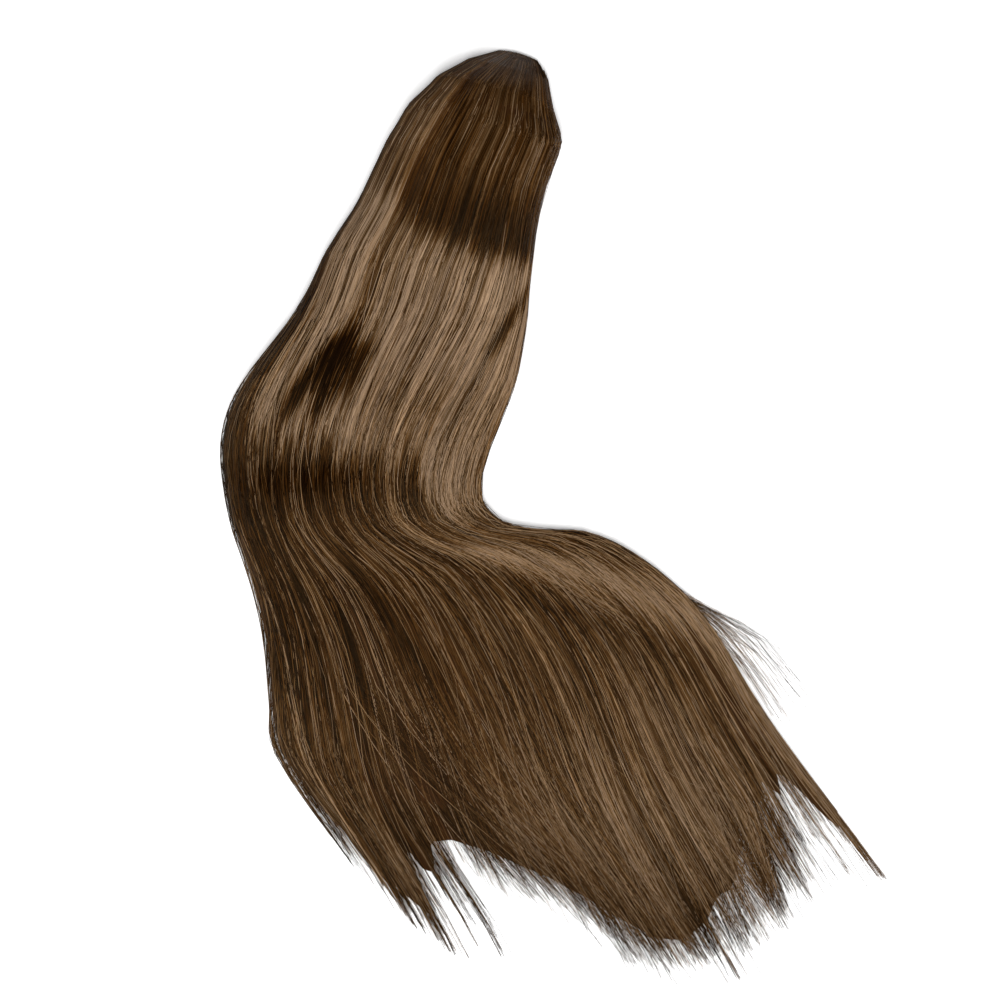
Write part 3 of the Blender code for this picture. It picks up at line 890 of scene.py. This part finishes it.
def set_input(modifier, tree, name, value):
    """Sets a modifier's input by the identifier of the socket with this name."""
    sockets = [item for item in tree.interface.items_tree if item.item_type == "SOCKET"]
    socket = next(item for item in sockets if item.in_out == "INPUT" and item.name == name)
    modifier[socket.identifier] = value


def lay_strands(name, tree, flow, inputs):
    """Runs the strand tree on the flow surface and returns the strands as a plain mesh piece."""
    guide = bpy.data.objects.new(name + "_guide", flow)
    bpy.context.scene.collection.objects.link(guide)
    modifier = guide.modifiers.new("strands", "NODES")
    modifier.node_group = tree
    for key, value in inputs.items():
        set_input(modifier, tree, key, value)
    evaluated = guide.evaluated_get(bpy.context.evaluated_depsgraph_get())
    mesh = bpy.data.meshes.new_from_object(evaluated)
    guide.modifiers.remove(modifier)
    bpy.data.objects.remove(guide)
    mesh.name = name
    piece = bpy.data.objects.new(name, mesh)
    bpy.context.scene.collection.objects.link(piece)
    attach(piece, "root")
    return piece


def hollow_arch(count):
    """The hollow over the claw, from its left foot to its right: how far aside and how high."""
    turns = np.linspace(-math.pi / 2, math.pi / 2, count)
    middle = HOLLOW_HEIGHT / 2
    aside = HOLLOW_HALF_WIDTH * np.sin(turns)
    height = middle + (HOLLOW_HEIGHT - middle) * np.cos(turns)
    height[0] = height[-1] = 0.0
    aside[0], aside[-1] = -HOLLOW_HALF_WIDTH, HOLLOW_HALF_WIDTH
    return aside, height


def hair_body(name, node, first, last, material):
    """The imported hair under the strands: a closed weft a little inside the solid, open over the claw."""
    shares = np.linspace(first, last, BODY_COLUMNS)
    before = (PLACES[0] + BODY_DRAWN_IN, HOLLOW_START / 2, HOLLOW_START - CLAW_ROOM)
    over = np.linspace(HOLLOW_START, HOLLOW_END, BODY_CLAW_ROWS)
    after = np.linspace(HOLLOW_END + CLAW_ROOM, BODY_SPLIT, BODY_FALL_ROWS)
    places = np.concatenate((before, over, after))
    ends = np.interp(shares, *zip(*BODY_ENDS))
    rows = [np.full(len(shares), place) for place in places]
    for s in np.linspace(0, 1, BODY_TIP_ROWS + 1)[1:]:
        rows.append(BODY_SPLIT + s * (ends - BODY_SPLIT))
    rows = np.array(rows)
    top = hair_top(rows, shares[None, :], sunk=BODY_SUNK, drawn_in=BODY_DRAWN_IN)
    thin = np.ones(len(rows))
    thin[-BODY_TIP_ROWS:] = np.linspace(1, BODY_TIP_THIN, BODY_TIP_ROWS)
    top[..., 2] = np.maximum(top[..., 2] * thin[:, None], BODY_TIP_LEAST)
    bottom = top.copy()
    bottom[..., 2] = 0.0
    aside, height = hollow_arch(ARCH_POINTS)
    level = np.linspace(0, 1, ARCH_POINTS)
    for k in range(len(before), len(before) + len(over)):
        arch_aside = np.interp(shares, level, aside)
        arch_height = np.interp(shares, level, height)
        line = places[k] * DOWN_HEAD + SHIFT
        bottom[k, :, :2] = line + (arch_aside - CLAW_ASIDE)[:, None] * ACROSS_HEAD
        bottom[k, :, 2] = arch_height
    ring = np.concatenate((top, bottom[:, ::-1]), axis=1)
    count = ring.shape[1]
    faces, flows = [], []
    down = rows[:, 0] / TIP_PLACE
    for k in range(len(rows) - 1):
        for c in range(count):
            d = (c + 1) % count
            a, b = k * count, (k + 1) * count
            faces.append((a + c, b + c, b + d, a + d))
            u, w = c / count, (c + 1) / count
            flows += [(u, down[k]), (u, down[k + 1]), (w, down[k + 1]), (w, down[k])]
    columns = len(shares)
    for base, turned, v in ((0, False, down[0]), ((len(rows) - 1) * count, True, down[-1])):
        for c in range(columns - 1):
            face = [base + c, base + c + 1, base + count - 2 - c, base + count - 1 - c]
            flow = [(c / count, v), ((c + 1) / count, v), ((c + 1) / count, v + 0.01), (c / count, v + 0.01)]
            faces.append(tuple(face[::-1]) if turned else tuple(face))
            flows += flow[::-1] if turned else flow
    mesh = bpy.data.meshes.new(name)
    mesh.from_pydata(ring.reshape(-1, 3).tolist(), [], faces)
    mesh.uv_layers.new(name="OFBake").data.foreach_set("uv", np.array(flows, np.float32).ravel())
    mesh.materials.append(material)
    mesh.shade_smooth()
    mesh.set_sharp_from_angle(angle=BODY_SHARP_ANGLE)
    piece = bpy.data.objects.new(name, mesh)
    bpy.context.scene.collection.objects.link(piece)
    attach(piece, "root")
    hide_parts(node)
    return piece


def new_material(name):
    material = bpy.data.materials.new(name)
    material.use_nodes = True
    material.node_tree.nodes.clear()
    return material, Net(material.node_tree)


def finish_material(net, shader):
    net.node("ShaderNodeOutputMaterial", None, {"Surface": shader["BSDF"]})


def ramp(net, value, stops):
    """A colour ramp with the given places and colours."""
    made = net.node("ShaderNodeValToRGB", None, {"Fac": value})
    elements = made.made.color_ramp.elements
    while len(elements) < len(stops):
        elements.new(1.0)
    for element, (place, colour) in zip(elements, stops):
        element.position = place
        element.color = colour
    return made["Color"]


def mix(net, amount, first, second):
    sockets = {0: amount, 6: first, 7: second}
    return net.node("ShaderNodeMix", {"data_type": "RGBA"}, sockets)[2]


def relief(net, height, strength, distance):
    """The normals of a surface with this fine relief."""
    sockets = {"Strength": strength, "Distance": distance, "Height": height}
    return net.node("ShaderNodeBump", None, sockets)["Normal"]


def strand_material():
    """Brown hair: each strand has its own tone and warmth, which carry painted sheen and shade, and the tips
    are ashy and lighter.
    """
    material, net = new_material("brown hair strands")

    def stored(name):
        return net.node("ShaderNodeAttribute", {"attribute_name": name})["Fac"]

    to_tip = net.smooth_step(stored("down_hair"), TIPS_FROM, TIPS_TO)
    tone = stored("tone") + TIPS_PALER * to_tip
    warmth = net.maths("MINIMUM", stored("warmth") - TIPS_ASHY * to_tip, 1.0)
    warmth = net.maths("MAXIMUM", warmth, 0.0)
    colour = mix(net, warmth, ramp(net, tone, ASH_BROWNS), ramp(net, tone, GOLDEN_BROWNS))
    sockets = {"Base Color": colour, "Roughness": STRAND_ROUGHNESS + stored("dull")}
    sockets |= {"Specular IOR Level": 0.12, "IOR": HAIR_INDEX, "Specular Tint": SHEEN_TINT}
    finish_material(net, net.node("ShaderNodeBsdfPrincipled", None, sockets))
    return material


def body_material():
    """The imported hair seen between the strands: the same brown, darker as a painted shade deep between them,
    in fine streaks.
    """
    material, net = new_material("packed brown hair")
    flow = net.node("ShaderNodeUVMap", {"uv_map": "OFBake"})["UV"]
    parts = net.node("ShaderNodeSeparateXYZ", None, {"Vector": flow})
    streaks = net.noise(net.vector(parts["X"] * 260.0, parts["Y"] * 6.0), 1.0, 3.0, 0.6)["Fac"]
    locks = net.noise(net.vector(parts["X"] * 40.0, parts["Y"] * 3.0, 4.0), 1.0, 2.0)["Fac"]
    # Painted shade: darker than the strands, and lighter towards the tips
    tone = streaks * 0.5 + locks * 0.4 - 0.18 + 0.12 * net.smooth_step(parts["Y"], 0.78, 0.90)
    bump = relief(net, streaks, 0.6, 0.0006)
    sockets = {"Base Color": ramp(net, tone, GOLDEN_BROWNS), "Roughness": 0.7, "Normal": bump}
    sockets["Specular IOR Level"] = 0.08
    finish_material(net, net.node("ShaderNodeBsdfPrincipled", None, sockets))
    return material


def claw_material():
    """Satin dark brown plastic: a faint marbling, fine moulding texture and rubbed patches."""
    material, net = new_material("satin brown plastic")
    place = net.node("ShaderNodeTexCoord")["Object"]
    marble = net.noise(place, 60.0, 4.0, 0.6)["Fac"]
    rubbed = net.noise(place, 220.0, 3.0)["Fac"]
    grain = net.noise(place, 2600.0, 2.0)["Fac"]
    bump = relief(net, grain, 0.15, 0.0002)
    colour = ramp(net, marble, CLAW_BROWNS)
    sockets = {"Base Color": colour, "Roughness": 0.24 + 0.18 * rubbed, "Normal": bump}
    finish_material(net, net.node("ShaderNodeBsdfPrincipled", None, sockets))
    return material


def make_hair():
    strands, body = strand_material(), body_material()
    tree, flow = strand_tree(), flow_mesh()
    for node, first, last in WEFTS:
        hair_body("packed_" + node, node, first, last, body)

    def lay(name, **inputs):
        lay_strands(name, tree, flow, {**inputs, "Material": strands})

    lay_long = {"Strands": 600, "Points": 31, "Stray": 0.05}
    names = ("strands_left", "strands_left_middle", "strands_middle", "strands_right_middle", "strands_right")
    for k, name in enumerate(names):
        part = {"Across from": k / len(names), "Across to": (k + 1) / len(names), "Seed": k + 1}
        lay(name, **lay_long, **part)
    lay_short = {"Strands": 820, "Points": 15, "Fray": 0.06, "Start from": 0.30, "Start to": 0.74}
    names = ("tip_strands_left", "tip_strands_middle", "tip_strands_right")
    for k, name in enumerate(names):
        part = {"Across from": k / len(names), "Across to": (k + 1) / len(names), "Seed": k + 11}
        lay(name, **lay_short, **part)
    cluster = {"Strands": 480, "Points": 14, "Fray": 0.05, "Start from": 0.55, "Start to": 0.78, "Seed": 15}
    lay("tip_strands_cluster", **{"Across from": 0.60, "Across to": 0.965}, **cluster)
    sweep = {"Strands": 420, "Points": 24, "Across from": 0.62, "Across to": 0.97, "Start to": 0.30}
    sweep |= {"Sweep to": 0.98, "Sweep share": 0.72, "Longer by": -0.20, "Fray": 0.20, "Gather": 0.0}
    sweep |= {"Sweep start": float(down_at(0.255)), "Sweep end": float(down_at(0.365))}
    # The sweep is painted lighter, partly a painted sheen
    sweep |= {"Tone": 0.14, "Depth": 0.0004, "Seed": 21}
    lay("sweep_strands", **sweep)
    wisps = {"Strands": 130, "Points": 18, "Across from": 0.84, "Across to": 0.99, "Start to": 0.40}
    wisps |= {"Sweep to": 1.09, "Sweep share": 0.95, "Fray": 0.14, "Gather": 0.0, "Out": 0.105}
    wisps |= {"Longer by": float(down_at(0.398) - down_at(0.464)), "Lift": 0.001}
    wisps |= {"Radius": 0.00015, "Seed": 22}
    wisps |= {"Sweep start": float(down_at(0.290)), "Sweep end": float(down_at(0.375))}
    lay("side_wisps", **wisps)
    strays = {"Strands": 260, "Points": 22, "Start to": 0.6, "Fray": 0.3, "Gather": 0.1, "Wander": 0.03}
    strays |= {"Stray": 0.5, "Depth": 0.0, "Lift": 0.0025, "Tone": 0.35, "Radius": 0.00013, "Seed": 31}
    lay("stray_hairs", **strays)
    across = {"Strands": 34, "Points": 12, "Across from": 0.30, "Across to": 0.95, "Start from": 0.50}
    across |= {"Start to": 0.70, "Longer by": -0.22, "Fray": 0.10, "Sweep to": 0.35, "Sweep share": 0.40}
    across |= {"Sweep start": 0.50, "Sweep end": 0.85, "Gather": 0.0, "Depth": 0.0, "Lift": 0.001}
    lay("crossing_hairs", Tone=0.45, Radius=0.00012, Seed=41, **across)


def make_stage():
    mesh = bpy.data.meshes.new("floor")
    side = FLOOR_SIDE
    corners = [(-side, -side, 0), (side, -side, 0), (side, side, 0), (-side, side, 0)]
    mesh.from_pydata(corners, [], [(0, 1, 2, 3)])
    floor = bpy.data.objects.new("floor", mesh)
    bpy.context.scene.collection.objects.link(floor)
    material, net = new_material("pale floor")
    sockets = {"Base Color": (0.98, 0.98, 0.98, 1.0), "Roughness": 0.9, "Specular IOR Level": 0.1}
    sockets |= {"Emission Color": WHITE, "Emission Strength": FLOOR_GLOW}
    finish_material(net, net.node("ShaderNodeBsdfPrincipled", None, sockets))
    mesh.materials.append(material)
    floor.location.z = -FLOOR_DROP


def make_light(name, place, target, size, power):
    light = bpy.data.lights.new(name, "AREA")
    light.shape = "DISK"
    light.size = size
    light.energy = power
    lamp = bpy.data.objects.new(name, light)
    bpy.context.scene.collection.objects.link(lamp)
    lamp.location = place
    lamp.rotation_euler = (Vector(target) - Vector(place)).to_track_quat("-Z", "Y").to_euler()


def make_studio():
    middle = Vector((*PHOTO_MIDDLE, 0.0))
    key = middle + Vector((0.0, -math.cos(LIGHT_LIFT), math.sin(LIGHT_LIFT))) * LIGHT_REACH
    make_light("key", key, middle, LIGHT_SIZE, LIGHT_POWER)
    world = bpy.data.worlds.new("studio")
    world.use_nodes = True
    background = world.node_tree.nodes["Background"]
    background.inputs["Color"].default_value = WHITE
    background.inputs["Strength"].default_value = ROOM_LIGHT
    bpy.context.scene.world = world
    camera = bpy.data.cameras.new("camera")
    camera.lens, camera.sensor_width = LENS, SENSOR
    eye = bpy.data.objects.new("camera", camera)
    bpy.context.scene.collection.objects.link(eye)
    eye.location = (*PHOTO_MIDDLE, PHOTO_SIDE * LENS / SENSOR)
    eye.rotation_euler = (0.0, 0.0, 0.0)
    camera.clip_end = 20.0
    bpy.context.scene.camera = eye
    bpy.context.scene.view_settings.view_transform = "Standard"


make_hair()
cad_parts["claw_clip"].data.materials.clear()
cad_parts["claw_clip"].data.materials.append(claw_material())
make_stage()
make_studio()
